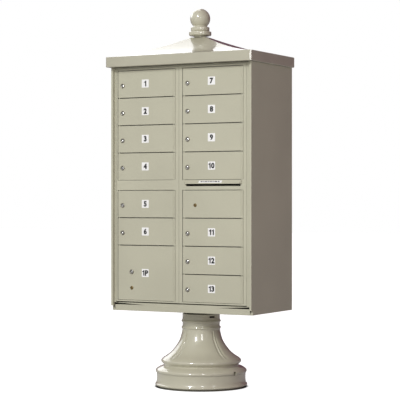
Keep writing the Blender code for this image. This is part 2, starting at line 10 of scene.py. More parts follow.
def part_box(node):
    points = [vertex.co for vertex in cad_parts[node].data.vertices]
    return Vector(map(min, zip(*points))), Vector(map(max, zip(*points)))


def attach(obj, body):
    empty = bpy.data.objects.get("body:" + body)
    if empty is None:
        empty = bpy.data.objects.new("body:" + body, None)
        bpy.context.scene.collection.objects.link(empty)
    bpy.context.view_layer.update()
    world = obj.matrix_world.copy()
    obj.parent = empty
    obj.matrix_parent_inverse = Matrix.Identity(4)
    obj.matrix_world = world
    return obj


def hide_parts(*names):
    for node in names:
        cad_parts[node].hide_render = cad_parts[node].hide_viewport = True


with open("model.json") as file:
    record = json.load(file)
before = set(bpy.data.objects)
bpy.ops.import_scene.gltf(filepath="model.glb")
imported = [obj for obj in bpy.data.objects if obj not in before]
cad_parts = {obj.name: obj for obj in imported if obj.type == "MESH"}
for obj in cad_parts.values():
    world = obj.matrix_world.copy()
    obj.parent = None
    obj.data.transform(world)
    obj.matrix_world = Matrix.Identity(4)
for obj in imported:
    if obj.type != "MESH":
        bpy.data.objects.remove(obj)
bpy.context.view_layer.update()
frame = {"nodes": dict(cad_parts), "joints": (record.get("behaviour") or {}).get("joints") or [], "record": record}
nodes = frame["nodes"]
print("frame loaded:", len(nodes), "nodes")

# shader helpers


class Wire:  # a socket that can be added and multiplied
    def __init__(self, tree, socket):
        self.tree = tree
        self.socket = socket

    def math(self, operation, *values):
        node = self.tree.nodes.new("ShaderNodeMath")
        node.operation = operation
        for slot, value in zip(node.inputs, values):
            plug(self.tree, slot, value)
        return Wire(self.tree, node.outputs[0])

    def __add__(self, other):
        return self.math("ADD", self, other)

    def __mul__(self, other):
        return self.math("MULTIPLY", self, other)

    __radd__ = __add__
    __rmul__ = __mul__


def plug(tree, slot, value):
    if isinstance(value, Wire):
        tree.links.new(value.socket, slot)
    else:
        slot.default_value = value


class Graph:  # one node tree under construction
    def __init__(self, tree):
        self.tree = tree

    def add(self, kind, settings=None, values=None, output=0):
        node = self.tree.nodes.new(kind)
        for name, value in (settings or {}).items():
            setattr(node, name, value)
        for name, value in (values or {}).items():
            plug(self.tree, node.inputs[name], value)
        return Wire(self.tree, node.outputs[output])

    def ramp(self, value, low, high, start=0.0, end=1.0):
        values = {"Value": value, "From Min": low, "From Max": high, "To Min": start, "To Max": end}
        return self.add("ShaderNodeMapRange", {"interpolation_type": "SMOOTHSTEP"}, values)

    def noise(self, place, scale, detail=3.0, roughness=0.5):
        values = {"Vector": place, "Scale": scale, "Detail": detail, "Roughness": roughness}
        return self.add("ShaderNodeTexNoise", {}, values)

    def mix(self, factor, first, second):
        node = self.tree.nodes.new("ShaderNodeMix")
        node.data_type = "RGBA"
        plug(self.tree, node.inputs[0], factor)
        plug(self.tree, node.inputs[6], first)
        plug(self.tree, node.inputs[7], second)
        return Wire(self.tree, node.outputs[2])

    def stretched(self, place, scale):
        return self.add("ShaderNodeMapping", {}, {"Vector": place, "Scale": scale})


class Finish(Graph):  # a Principled material
    def __init__(self, name, **fixed):
        self.material = bpy.data.materials.new(name)
        self.material.use_nodes = True
        super().__init__(self.material.node_tree)
        self.shader = self.tree.nodes["Principled BSDF"]
        self.place = self.add("ShaderNodeTexCoord", output="Object")
        for name, value in fixed.items():
            self.feed(name, value)

    def feed(self, name, value):
        plug(self.tree, self.shader.inputs[socketNames.get(name, name)], value)

    def bump(self, height, strength, distance, under=None):
        values = {"Height": height, "Strength": strength, "Distance": distance}
        if under:
            values["Normal"] = under
        return self.add("ShaderNodeBump", {}, values)


socketNames = {
    "colour": "Base Color",
    "roughness": "Roughness",
    "metallic": "Metallic",
    "coat": "Coat Weight",
    "coatRoughness": "Coat Roughness",
    "ior": "IOR",
    "normal": "Normal",
}


def srgb(red, green, blue):  # a colour as a paint card gives it, 0 to 255
    def linear(level):
        level /= 255
        return level / 12.92 if level <= 0.04045 else ((level + 0.055) / 1.055) ** 2.4

    return (linear(red), linear(green), linear(blue), 1.0)


def shaded(colour, factor):
    return (*[min(1.0, level * factor) for level in colour[:3]], 1.0)


# finishes

coatCard = {
    "beige": srgb(190, 188, 167),
    "tones": (0.965, 1.03),
    "cloudScale": 3.0,
    "dustScale": 160.0,
    "roughness": (0.37, 0.48),
    "peelScale": 620,
    "peelDepth": 0.00006,
    "waveScale": 5.0,
    "waveDepth": 0.0006,
}
enamelCard = {
    "beige": srgb(188, 185, 165),
    "tones": (0.97, 1.02),
    "cloudScale": 6.0,
    "roughness": 0.30,
    "coatRoughness": 0.035,
    "rippleScale": 26.0,
    "rippleDepth": 0.0006,
    "grainScale": 420.0,
    "grainDepth": 0.00003,
}
platedCard = {"cloudScale": 220.0, "dulling": 0.16, "scratchScale": 700.0, "scratchDepth": 0.00002}
millCard = {
    "greys": (srgb(176, 177, 176), srgb(205, 206, 204)),
    "roughness": (0.34, 0.5),
    "grainStretch": (3.0, 90.0, 90.0),
    "grainScale": 14.0,
    "grainDepth": 0.00006,
    "cloudScale": 7.0,
}
zincCard = {
    "greys": (srgb(176, 178, 172), srgb(206, 206, 198)),
    "roughness": (0.28, 0.46),
    "spangleScale": 240.0,
}
vinylCard = {"roughness": (0.32, 0.44), "speckScale": 900.0, "speckDepth": 0.00003}


def powderCoat(name, tone=1.0):  # baked satin coat: fine orange peel, slight clouding, a little dust
    card = coatCard
    made = Finish(name, ior=1.5)
    cloud = made.noise(made.place, card["cloudScale"], 2.0)
    dust = made.noise(made.place, card["dustScale"], 4.0, 0.6)
    blend = made.ramp(cloud * 0.75 + dust * 0.25, 0.35, 0.65)
    dark, light = (shaded(card["beige"], level * tone) for level in card["tones"])
    made.feed("colour", made.mix(blend, dark, light))
    made.feed("roughness", made.ramp(dust, 0.3, 0.7, *card["roughness"]))
    peel = made.noise(made.place, card["peelScale"], 2.0, 0.45)
    wave = made.noise(made.place, card["waveScale"], 1.0)
    soft = made.bump(wave, 0.05, card["waveDepth"])
    made.feed("normal", made.bump(peel, 0.5, card["peelDepth"], soft))
    return made.material


def glossEnamel(name, tone=1.0):  # enamelled casting: clear gloss over a slightly rippled surface
    card = enamelCard
    made = Finish(name, roughness=card["roughness"], coat=1.0, coatRoughness=card["coatRoughness"])
    cloud = made.ramp(made.noise(made.place, card["cloudScale"], 3.0), 0.3, 0.7)
    dark, light = (shaded(card["beige"], level * tone) for level in card["tones"])
    made.feed("colour", made.mix(cloud, dark, light))
    ripple = made.noise(made.place, card["rippleScale"], 2.0, 0.4)
    grain = made.noise(made.place, card["grainScale"], 2.0, 0.5)
    cast = made.bump(ripple, 0.35, card["rippleDepth"])
    made.feed("normal", made.bump(grain, 0.25, card["grainDepth"], cast))
    return made.material


def platedMetal(name, colour, roughness, dullness):  # turned and plated: ring scratches, dull clouds
    card = platedCard
    made = Finish(name, metallic=1.0)
    cloud = made.noise(made.place, card["cloudScale"], 3.0, 0.6)
    tarnish = made.ramp(cloud, 0.45, 0.75)
    made.feed("colour", made.mix(tarnish, colour, shaded(colour, 1 - dullness)))
    made.feed("roughness", made.ramp(cloud, 0.2, 0.8, roughness, roughness + card["dulling"]))
    rings = made.stretched(made.place, (1.0, 1.0, 14.0))
    scratch = made.noise(rings, card["scratchScale"], 2.0)
    made.feed("normal", made.bump(scratch, 0.3, card["scratchDepth"]))
    return made.material


def millAluminium(name):  # bare rolled sheet, grain along the width
    card = millCard
    made = Finish(name, metallic=0.9)
    rolled = made.stretched(made.place, card["grainStretch"])
    grain = made.noise(rolled, card["grainScale"], 4.0, 0.6)
    cloud = made.noise(made.place, card["cloudScale"], 3.0)
    streak = made.ramp(grain * 0.7 + cloud * 0.3, 0.3, 0.7)
    made.feed("colour", made.mix(streak, *card["greys"]))
    made.feed("roughness", made.ramp(grain, 0.25, 0.75, *card["roughness"]))
    made.feed("normal", made.bump(grain, 0.25, card["grainDepth"]))
    return made.material


def zincPlate(name):  # zinc with faint spangle
    card = zincCard
    made = Finish(name, metallic=1.0)
    pattern = {"Vector": made.place, "Scale": card["spangleScale"]}
    cell = made.add("ShaderNodeTexVoronoi", {}, pattern, output="Color")
    grey = made.add("ShaderNodeSeparateColor", {}, {"Color": cell})
    made.feed("colour", made.mix(grey, *card["greys"]))
    made.feed("roughness", made.ramp(grey, 0.0, 1.0, *card["roughness"]))
    return made.material


def vinyl(name, colour):  # printed sticker film
    card = vinylCard
    made = Finish(name)
    speck = made.noise(made.place, card["speckScale"], 2.0)
    made.feed("colour", made.mix(speck, shaded(colour, 0.97), shaded(colour, 1.0)))
    made.feed("roughness", made.ramp(speck, 0.3, 0.7, *card["roughness"]))
    made.feed("normal", made.bump(speck, 0.15, card["speckDepth"]))
    return made.material


finishes = {
    "cabinet": powderCoat("cabinetCoat"),
    "door": powderCoat("doorCoat"),
    "frame": powderCoat("masterFrameCoat", 1.02),
    "roof": glossEnamel("roofEnamel", 0.96),
    "casting": glossEnamel("castingEnamel", 1.12),
    # the post is made near black: partly its own dark paint, partly painted shade for the gap under the cabinet
    "post": powderCoat("postDarkPaintAndShade", 0.22),
    "chrome": platedMetal("lockChrome", srgb(214, 214, 212), 0.10, 0.15),
    "rim": platedMetal("lockRim", srgb(158, 154, 144), 0.26, 0.30),
    "brass": platedMetal("lockBrass", srgb(148, 130, 92), 0.28, 0.35),
    "aluminium": millAluminium("rackAluminium"),
    "zinc": zincPlate("latchZinc"),
    "label": vinyl("labelFilm", srgb(246, 246, 244)),
    # dark film in the door gaps: painted shade for the shadow gap, not a real seal
    "gapShade": vinyl("doorGapShade", srgb(48, 46, 42)),
    "ink": vinyl("labelInk", srgb(8, 8, 10)),
}
print("finishes made:", len(finishes))

# mesh helpers

turnToDoor = Matrix.Rotation(math.radians(90), 4, "X")  # what points up comes out of the door's face
mergeReach = 1e-6


def helperObject(mesh):
    made = bpy.data.objects.new("helper", mesh)
    bpy.context.scene.collection.objects.link(made)
    return made


def applied(helper):  # the evaluated mesh on its own, with the helper removed
    bpy.context.view_layer.update()
    graph = bpy.context.evaluated_depsgraph_get()
    mesh = bpy.data.meshes.new_from_object(helper.evaluated_get(graph))
    mesh.transform(helper.matrix_world)
    bpy.data.objects.remove(helper, do_unlink=True)
    return mesh


def reshaped(mesh, work):  # runs work on the mesh as a bmesh
    shape = bmesh.new()
    shape.from_mesh(mesh)
    work(shape)
    shape.to_mesh(mesh)
    shape.free()
    return mesh


def meshFrom(shape, name):
    mesh = bpy.data.meshes.new(name)
    shape.to_mesh(mesh)
    shape.free()
    return mesh


def turnedOut(shape):  # doubles merged, faces outwards
    bmesh.ops.remove_doubles(shape, verts=shape.verts, dist=mergeReach)
    bmesh.ops.recalc_face_normals(shape, faces=shape.faces)


def bevelled(mesh, width, segments=2, angle=30):
    helper = helperObject(mesh)
    bevel = helper.modifiers.new("Edges", "BEVEL")
    bevel.width = width
    bevel.segments = segments
    bevel.limit_method = "ANGLE"
    bevel.angle_limit = math.radians(angle)
    return applied(helper)


def cutBy(mesh, cutters, operation="DIFFERENCE"):
    helper = helperObject(mesh)
    tools = [helperObject(cutter) for cutter in cutters]
    for tool in tools:
        step = helper.modifiers.new("Cut", "BOOLEAN")
        step.operation = operation
        step.object = tool
    made = applied(helper)
    for tool in tools:
        bpy.data.objects.remove(tool, do_unlink=True)
    return made


def prism(outline, axis, low, high):  # an outline in the plane across the axis, extruded along it
    shape = bmesh.new()
    orders = {
        "x": lambda u, v, w: (w, u, v),
        "y": lambda u, v, w: (u, w, v),
        "z": lambda u, v, w: (u, v, w),
    }
    order = orders[axis]
    face = shape.faces.new([shape.verts.new(order(u, v, low)) for u, v in outline])
    raised = bmesh.ops.extrude_face_region(shape, geom=[face])["geom"]
    corners = [item for item in raised if isinstance(item, bmesh.types.BMVert)]
    bmesh.ops.translate(shape, vec=Vector(order(0, 0, high - low)), verts=corners)
    turnedOut(shape)
    return meshFrom(shape, "prism")


def boxMesh(low, high):
    (left, front, foot), (right, back, top) = low, high
    return prism([(left, front), (right, front), (right, back), (left, back)], "z", foot, top)


def lathe(profile, steps, closed=False):  # (radius, height) points turned about Z
    shape = bmesh.new()
    corners = [shape.verts.new((radius, 0, height)) for radius, height in profile]
    pairs = zip(corners, corners[1:] + corners[:1] if closed else corners[1:])
    edges = [shape.edges.new(pair) for pair in pairs]
    whole = {"cent": (0, 0, 0), "axis": (0, 0, 1), "angle": math.tau, "steps": steps}
    bmesh.ops.spin(shape, geom=corners + edges, use_merge=True, **whole)
    turnedOut(shape)
    return meshFrom(shape, "lathe")


def arc(centre, radius, start, end, steps):
    for step in range(steps + 1):
        angle = math.radians(start + (end - start) * step / steps)
        yield centre[0] + radius * math.cos(angle), centre[1] + radius * math.sin(angle)


def joined(meshes):
    shape = bmesh.new()
    for mesh in meshes:
        shape.from_mesh(mesh)
        bpy.data.meshes.remove(mesh)
    return meshFrom(shape, "joined")


def moved(mesh, place):
    copied = mesh.copy()
    copied.transform(Matrix.Translation(place))
    return copied


def roundedOutline(low, high, radius, steps=5):
    outline = []
    for centre, start in (
        ((high[0] - radius, high[1] - radius), 0),
        ((low[0] + radius, high[1] - radius), 90),
        ((low[0] + radius, low[1] + radius), 180),
        ((high[0] - radius, low[1] + radius), 270),
    ):
        outline += list(arc(centre, radius, start, start + 90, steps))
    return outline


def refined(node, width, segments=2):  # a CAD node's mesh, merged, with its edges rounded
    def merge(shape):
        bmesh.ops.remove_doubles(shape, verts=shape.verts, dist=mergeReach)
        flat = math.radians(1)
        bmesh.ops.dissolve_limit(shape, angle_limit=flat, verts=shape.verts, edges=shape.edges)

    return bevelled(reshaped(nodes[node].data.copy(), merge), width, segments)


def publish(mesh, name, finish, body, replaced=(), sharp=35):
    mesh.materials.clear()
    mesh.materials.append(finishes[finish])
    mesh.shade_smooth()
    mesh.set_sharp_from_angle(angle=math.radians(sharp))
    helper = helperObject(mesh)
    weighted = helper.modifiers.new("Normals", "WEIGHTED_NORMAL")  # keeps large faces flat beside bevels
    weighted.keep_sharp = True
    mesh = applied(helper)
    mesh.name = name
    piece = bpy.data.objects.new(name, mesh)
    bpy.context.scene.collection.objects.link(piece)
    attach(piece, body)
    if replaced:
        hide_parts(*replaced)
    return piece


# rows of rivet heads, made by one node tree


def rowTree(name, kind, headValues):  # a head repeated along a line, turned and finished
    tree = bpy.data.node_groups.new(name, "GeometryNodeTree")
    sockets = {
        "Start": "NodeSocketVector",
        "Step": "NodeSocketVector",
        "Count": "NodeSocketInt",
        "Turn": "NodeSocketVector",
        "Size": "NodeSocketVector",
        "Finish": "NodeSocketMaterial",
    }
    tree.interface.new_socket("Geometry", in_out="OUTPUT", socket_type="NodeSocketGeometry")
    for label, socketType in sockets.items():
        tree.interface.new_socket(label, in_out="INPUT", socket_type=socketType)
    build = Graph(tree)
    entry = tree.nodes.new("NodeGroupInput")
    given = {label: Wire(tree, entry.outputs[label]) for label in sockets}
    line = build.add(
        "GeometryNodeMeshLine",
        {"mode": "OFFSET"},
        {"Count": given["Count"], "Start Location": given["Start"], "Offset": given["Step"]},
    )
    head = build.add(kind, {}, headValues)
    sized = build.add("GeometryNodeTransform", {}, {"Geometry": head, "Scale": given["Size"]})
    turn = build.add("FunctionNodeEulerToRotation", {}, {"Euler": given["Turn"]})
    spread = build.add(
        "GeometryNodeInstanceOnPoints", {}, {"Points": line, "Instance": sized, "Rotation": turn}
    )
    real = build.add("GeometryNodeRealizeInstances", {}, {"Geometry": spread})
    done = build.add("GeometryNodeSetMaterial", {}, {"Geometry": real, "Material": given["Finish"]})
    leave = tree.nodes.new("NodeGroupOutput")
    tree.links.new(done.socket, leave.inputs[0])
    return tree


domeTree = rowTree("domeRow", "GeometryNodeMeshUVSphere", {"Segments": 16, "Rings": 8, "Radius": 1.0})


def rowOf(tree, start, step, count, turn, size, finish):
    helper = helperObject(bpy.data.meshes.new("row"))
    rows = helper.modifiers.new("Row", "NODES")
    rows.node_group = tree
    values = {"Start": start, "Step": step, "Turn": turn, "Size": size}
    for item in tree.interface.items_tree:
        if item.in_out == "INPUT" and item.name in values:
            rows[item.identifier] = [float(value) for value in values[item.name]]
        elif item.name == "Count":
            rows[item.identifier] = count
        elif item.name == "Finish":
            rows[item.identifier] = finishes[finish]
    return applied(helper)


# what the frame says

doorNames = sorted(name for name in nodes if name.endswith("_door") or name.startswith("door_"))
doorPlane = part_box("left_master_frame")[0][1]
bodies = frame["record"]["behaviour"]["bodies"]
bodyOf = {node: body for body, members in bodies.items() for node in members}
hinges = [joint for joint in frame["joints"] if joint["type"] == "hinge"]
jointPlace = {joint["child"]: Vector(joint["pos_m"]) for joint in hinges}
print("doors:", len(doorNames), "door plane", round(doorPlane, 4))

# doors

doorCard = {
    "barrelRadius": 0.005,
    "sheet": 0.003,
    "edge": 0.00042,
    "reveal": 0.0011,  # taken off the lock edge and the top
    "foldInset": 0.0056,  # from the hinge's axis to the crease beside the barrel
    "foldWidth": 0.0022,
    "foldDepth": 0.0015,
    "knucklePitch": 0.0254,
    "knuckleGap": 0.0005,
    "knuckleDepth": 0.0007,
    "knuckleProud": 0.001,
    "returnSheet": 0.0016,
    "returnEdge": 0.0012,
    "returnDepth": 0.0075,
    "returnInset": (0.020, 0.014),  # at the lock edge and at the barrel
    "overlap": 0.0005,  # of a return into the leaf
    "holeRadius": 0.0090,
    "carrierHole": 0.0064,
    "drill": 0.02,  # half its length
}


def doorLocks(name):  # the lock nodes that a door carries, with the radius of the hole each needs
    stem = name.replace("door", "lock")
    found = []
    if stem + "_housing" in nodes:
        found.append((stem + "_plug", doorCard["holeRadius"]))
    carrier = name.replace("door", "carrier_lock")
    if carrier in nodes:
        found.append((carrier, doorCard["carrierHole"]))
    return found


def doorMesh(name):
    card = doorCard
    low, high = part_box(name)
    low[0] += card["reveal"]
    high[2] -= card["reveal"]
    radius = card["barrelRadius"]
    axis = (high[0] - radius, low[1] + radius)
    back = low[1] + card["sheet"]
    join = 180 + math.degrees(math.asin((radius - card["sheet"]) / radius))
    fold = axis[0] - card["foldInset"]
    half = card["foldWidth"] / 2
    outline = [(low[0], back), (low[0], low[1])]
    outline += [(fold - half, low[1]), (fold, low[1] + card["foldDepth"]), (fold + half, low[1])]
    outline += arc(axis, radius, -90, join, 20)
    leaf = prism(outline, "z", low[2], high[2])
    cutters = []
    deep = card["drill"]
    for lock, holeRadius in doorLocks(name):
        place = jointPlace[bodyOf[lock]]
        hole = lathe([(0, deep), (holeRadius, deep), (holeRadius, -deep), (0, -deep)], 40)
        hole.transform(Matrix.Translation((place[0], low[1], place[2])) @ turnToDoor)
        cutters.append(hole)
    ringCount = round((high[2] - low[2]) / card["knucklePitch"])
    pitch = (high[2] - low[2]) / ringCount
    gap = card["knuckleGap"] / 2
    outer = radius + card["knuckleProud"]
    inner = radius - card["knuckleDepth"]
    for ring in range(1, ringCount):
        level = low[2] + ring * pitch
        groove = lathe([(inner, gap), (outer, gap), (outer, -gap), (inner, -gap)], 24, closed=True)
        groove.transform(Matrix.Translation((axis[0], axis[1], level)))
        cutters.append(groove)
    left = low[0] + card["returnInset"][0]
    right = axis[0] - card["returnInset"][1]
    near, far = back - card["overlap"], back + card["returnDepth"]
    thick = card["returnSheet"]
    levels = (high[2] - card["returnEdge"] - thick, low[2] + card["returnEdge"])
    flanges = [boxMesh((left, near, level), (right, far, level + thick)) for level in levels]
    return bevelled(cutBy(cutBy(leaf, flanges, "UNION"), cutters), card["edge"], 2, 50)


for name in doorNames:
    publish(doorMesh(name), name + "Leaf", "door", bodyOf[name], [name])
print("doors made")

# locks

lockCard = {
    "faceRadius": 0.011,
    "faceHeight": 0.0029,
    "bodyRadius": 0.0086,
    "bodyDepth": 0.0071,
    "bore": 0.0063,
    "plugRadius": 0.0060,
    "plugFace": 0.0034,
    "crown": 0.0125,  # radius that rounds the plug's face
    "tailDepth": 0.0093,
    "camDepths": (0.0081, 0.0106),
    "camLength": 0.026,
    "camWidth": 0.010,
    "camTaper": 0.82,
    "keyway": (0.0016, 0.0075),  # width and length
    "carrierKeyway": (0.0014, 0.0060),
    "keywayDepth": 0.0022,
    "rimCurve": 0.0014,
    "threadPitch": 0.0010,
    "threadTurns": 6,
    "nutRadius": 0.0046,
    "tailEnd": 0.0130,
}


def housingMesh():  # face ring with a stepped rim, then a threaded body
    card = lockCard
    top, rim, bore = card["faceHeight"], card["faceRadius"], card["bore"]
    curve = card["rimCurve"]
    pitch = card["threadPitch"]
    profile = [(bore, top - 0.0012), (bore + 0.0004, top - 0.0004), (bore + 0.0012, top)]
    profile += [(rim - 0.0022, top), *arc((rim - curve, top - curve), curve, 75, 0, 4)]
    profile += [(rim, 0.0003), (card["bodyRadius"], 0.0003)]
    for turn in range(card["threadTurns"]):
        level = -0.0006 - turn * pitch
        profile += [(card["bodyRadius"], level), (card["bodyRadius"] - 0.0005, level - pitch / 2)]
    profile += [(card["bodyRadius"] - 0.0002, -card["bodyDepth"]), (bore, -card["bodyDepth"])]
    mesh = lathe(profile, 40, closed=True)
    mesh.transform(turnToDoor)
    return mesh


def camMesh():
    card = lockCard
    half = card["camWidth"] / 2
    tip = (0, half - card["camLength"])
    outline = [*arc((0, 0), half, 0, 180, 8), *arc(tip, half * card["camTaper"], 180, 360, 8)]
    return bevelled(prism(outline, "y", *card["camDepths"]), 0.0003, 2)


def plugMesh(faceProfile, keyway):
    card = lockCard
    depth = card["tailDepth"]
    barrel = lathe([*faceProfile, (card["plugRadius"], -depth), (0, -depth)], 36)
    barrel.transform(turnToDoor)
    top = faceProfile[0][1]
    across, along = keyway[0] / 2, keyway[1] / 2
    slot = boxMesh((-across, -top - 0.002, -along), (across, -top + card["keywayDepth"], along))
    barrel = bevelled(cutBy(barrel, [slot]), 0.0002, 1, 40)
    hexagon = list(arc((0, 0), card["nutRadius"], 30, 330, 5))
    nut = prism(hexagon, "y", card["camDepths"][1] + 0.0001, card["tailEnd"])
    return joined([barrel, camMesh(), bevelled(nut, 0.0003, 1)])


chromeFace = list(arc((0, lockCard["plugFace"] - lockCard["crown"]), lockCard["crown"], 90, 65, 8))
chromeFace += [(lockCard["plugRadius"], 0.0016)]
brassFace = [(0, 0.0024), (0.0050, 0.0024), (0.0054, 0.0020), (0.0060, 0.0024)]
brassFace += [*arc((0.0072, 0.0011), 0.0013, 90, 0, 4), (0.0085, 0.0003), (lockCard["plugRadius"], 0.0003)]

housing = housingMesh()
chromePlug = plugMesh(chromeFace, lockCard["keyway"])
brassPlug = plugMesh(brassFace, lockCard["carrierKeyway"])
for name in doorNames:
    for lock, _ in doorLocks(name):
        place = jointPlace[bodyOf[lock]]
        if lock.endswith("_plug"):
            shell = lock.replace("_plug", "_housing")
            face, core = moved(housing, place), moved(chromePlug, place)
            publish(face, shell + "Face", "rim", bodyOf[shell], [shell])
            publish(core, lock + "Core", "chrome", bodyOf[lock], [lock])
        else:
            core = moved(brassPlug, place)
            publish(core, lock + "Core", "brass", bodyOf[lock], [lock])
print("locks made")

# number labels

labelCard = {
    "side": 0.038,
    "corner": 0.002,
    "film": 0.00025,
    "numeral": 0.0262,
    "ink": 0.00012,
    "bold": 0.052,  # added to each stroke
    "spacing": 0.10,
    "fill": 0.90,  # most of the label's width that the numeral takes
    "sunk": 0.0001,
    "shift": 0.0008,
}
flaggedOne = [(0.21, 0), (0.44, 0), (0.44, 1), (0.26, 1)]  # stem, then the flag at its top left
flaggedOne += [(0.20, 0.88), (0.00, 0.80), (0.00, 0.62), (0.21, 0.70)]


def spanOf(mesh, axis):
    values = [vertex.co[axis] for vertex in mesh.vertices]
    return min(values), max(values)


def glyphMesh(letter):  # one character lying flat, one unit high, with its left edge at the origin
    ink = labelCard["ink"] / 2
    if letter == "1":
        mesh = prism(flaggedOne, "z", -ink, ink)
    else:
        curve = bpy.data.curves.new("numeral", "FONT")
        curve.body = letter
        curve.resolution_u = 4
        curve.offset = labelCard["bold"]
        mesh = applied(helperObject(curve))
        bpy.data.curves.remove(curve)
        solid = helperObject(mesh)
        thicken = solid.modifiers.new("Ink", "SOLIDIFY")
        thicken.thickness = 2 * ink
        thicken.offset = 0
        mesh = applied(solid)
    (left, _), (foot, top) = spanOf(mesh, 0), spanOf(mesh, 1)
    size = Matrix.Diagonal((1 / (top - foot), 1 / (top - foot), 1, 1))
    mesh.transform(size @ Matrix.Translation((-left, -foot, 0)))
    return mesh


def numeralMesh(text, height, centre):
    letters = []
    width = 0
    for letter in text:
        glyph = glyphMesh(letter)
        glyph.transform(Matrix.Translation((width, 0, 0)))
        width = spanOf(glyph, 0)[1] + labelCard["spacing"]
        letters.append(glyph)
    width -= labelCard["spacing"]
    mesh = joined(letters)
    narrow = min(1.0, labelCard["side"] * labelCard["fill"] / (width * height))
    size = Matrix.Diagonal((height * narrow, height, 1, 1))
    toMiddle = Matrix.Translation((-width / 2, -0.5, 0))
    mesh.transform(Matrix.Translation(centre) @ turnToDoor @ size @ toMiddle)
    return reshaped(mesh, turnedOut)


for name in doorNames:
    if name == "outgoing_door":
        continue
    text = "1P" if name == "parcel_door" else str(int(name[-2:]))
    low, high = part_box(name)
    leafRight = high[0] - 2 * doorCard["barrelRadius"] - labelCard["shift"]
    x = (low[0] + leafRight) / 2
    z = (low[2] + high[2]) / 2
    half = labelCard["side"] / 2
    square = roundedOutline((x - half, z - half), (x + half, z + half), labelCard["corner"])
    film = prism(square, "y", doorPlane - labelCard["film"], doorPlane + labelCard["sunk"])
    publish(film, name + "Label", "label", bodyOf[name])
    inkPlane = doorPlane - labelCard["film"] - labelCard["ink"] / 2
    ink = numeralMesh(text, labelCard["numeral"], (x, inkPlane, z))
    publish(ink, name + "Numeral", "ink", bodyOf[name])
print("labels made")

# master frames and cabinet sheets

frameCard = {"edge": 0.0008}
for side in ("left", "right"):
    node = side + "_master_frame"
    mesh = refined(node, frameCard["edge"])
    publish(mesh, side + "MasterFrame", "frame", bodyOf[node], [node])

# sizes of the dark strips of painted shade behind the doors' lock edges
gapShadeCard = {
    "floor": 0.0035,  # behind the doors' face
    "thick": 0.0003,
    "lip": (0.0008, 0.0010),  # its width, and how far behind the doors' face it starts
    "lipGap": 0.0001,
    "outside": 0.0013,  # past the door's edges
    "under": 0.0018,  # behind the door
}
for side in ("left", "right"):  # a thin dark strip in the frame's rebate, behind each door's lock edge: painted shade for the shadow gap round the doors
    strips = []
    card = gapShadeCard
    for name in doorNames:
        low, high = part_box(name)
        if (low[0] < 0) == (side == "left"):
            wall, level = low[0] - card["outside"], doorPlane + card["floor"]
            foot, head = low[2] - card["outside"], high[2] + card["outside"]
            inner, front = low[0] + card["under"], level - card["thick"]
            strips.append(boxMesh((wall, front, foot), (inner, level, head)))
            lipEdge, lipFront = wall + card["lip"][0], doorPlane + card["lip"][1]
            lipBack = level - card["lipGap"]
            strips.append(boxMesh((wall, lipFront, foot), (lipEdge, lipBack, head)))
    publish(joined(strips), side + "DoorGapShade", "gapShade", bodyOf[side + "_master_frame"])

sheetCard = {  # node: piece, width of its rounded edges, finish, slot
    "left_side_panel": ("leftSidePanel", 0.0011, "cabinet", "coated_cabinet"),
    "right_side_panel": ("rightSidePanel", 0.0011, "cabinet", "coated_cabinet"),
    "floor_pan": ("floorPan", 0.0010, "cabinet", "coated_cabinet"),
    "top_pan": ("topPan", 0.0006, "cabinet", "coated_cabinet"),
    "back_panel": ("backPanel", 0.0008, "cabinet", "coated_cabinet"),
    "left_shelf_rack": ("leftShelfRack", 0.0004, "aluminium", "bare_aluminium"),
    "right_shelf_rack": ("rightShelfRack", 0.0004, "aluminium", "bare_aluminium"),
    "master_latch": ("masterLatch", 0.0004, "zinc", "plated_steel"),
    "pedestal_post": ("pedestalPost", 0.0015, "post", "coated_steel"),
    "slot_hood": ("slotHood", 0.0009, "frame", "coated_cabinet"),
}
for node, (name, width, finish, slotName) in sheetCard.items():
    publish(refined(node, width), name, finish, bodyOf[node], [node])
print("sheets refined")

# strip label on the slot's hood, with plain marks in place of words

stripCard = {
    "x": (0.0985, 0.2190),
    "along": (0.12, 0.86),  # shares of the slope
    "film": 0.00025,
    "sunk": 0.0001,
    "lip": 0.003,  # upright edge below the slope
    "ink": 0.0001,
    "marks": (0.009, 0.004, 0.012, 0.006, 0.010, 0.005, 0.013, 0.007),  # widths
    "marksAlong": (0.36, 0.62),
    "margin": 0.010,
    "space": 0.0045,
}
hoodLow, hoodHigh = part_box("slot_hood")
slopeFoot = Vector((0, hoodLow[1], hoodLow[2] + stripCard["lip"]))
slopeRun = Vector((0, doorPlane, hoodHigh[2])) - slopeFoot
slopeTurn = Matrix.Rotation(math.atan2(slopeRun.z, slopeRun.y), 4, "X")


def onSlope(x, along, thick):  # a thin block lying on the hood's sloping face
    near, far = (share * slopeRun.length for share in along)
    block = boxMesh((x[0], near, thick[0]), (x[1], far, thick[1]))
    block.transform(Matrix.Translation(slopeFoot) @ slopeTurn)
    return block


film = onSlope(stripCard["x"], stripCard["along"], (-stripCard["sunk"], stripCard["film"]))
publish(film, "slotStripLabel", "label", bodyOf["slot_hood"])
marks = []
place = stripCard["x"][0] + stripCard["margin"]
inkLayer = (stripCard["film"], stripCard["film"] + stripCard["ink"])
for width in stripCard["marks"]:
    marks.append(onSlope((place, place + width), stripCard["marksAlong"], inkLayer))
    place += width + stripCard["space"]
publish(joined(marks), "slotStripMarks", "ink", bodyOf["slot_hood"])

# rivets round the edge of the back

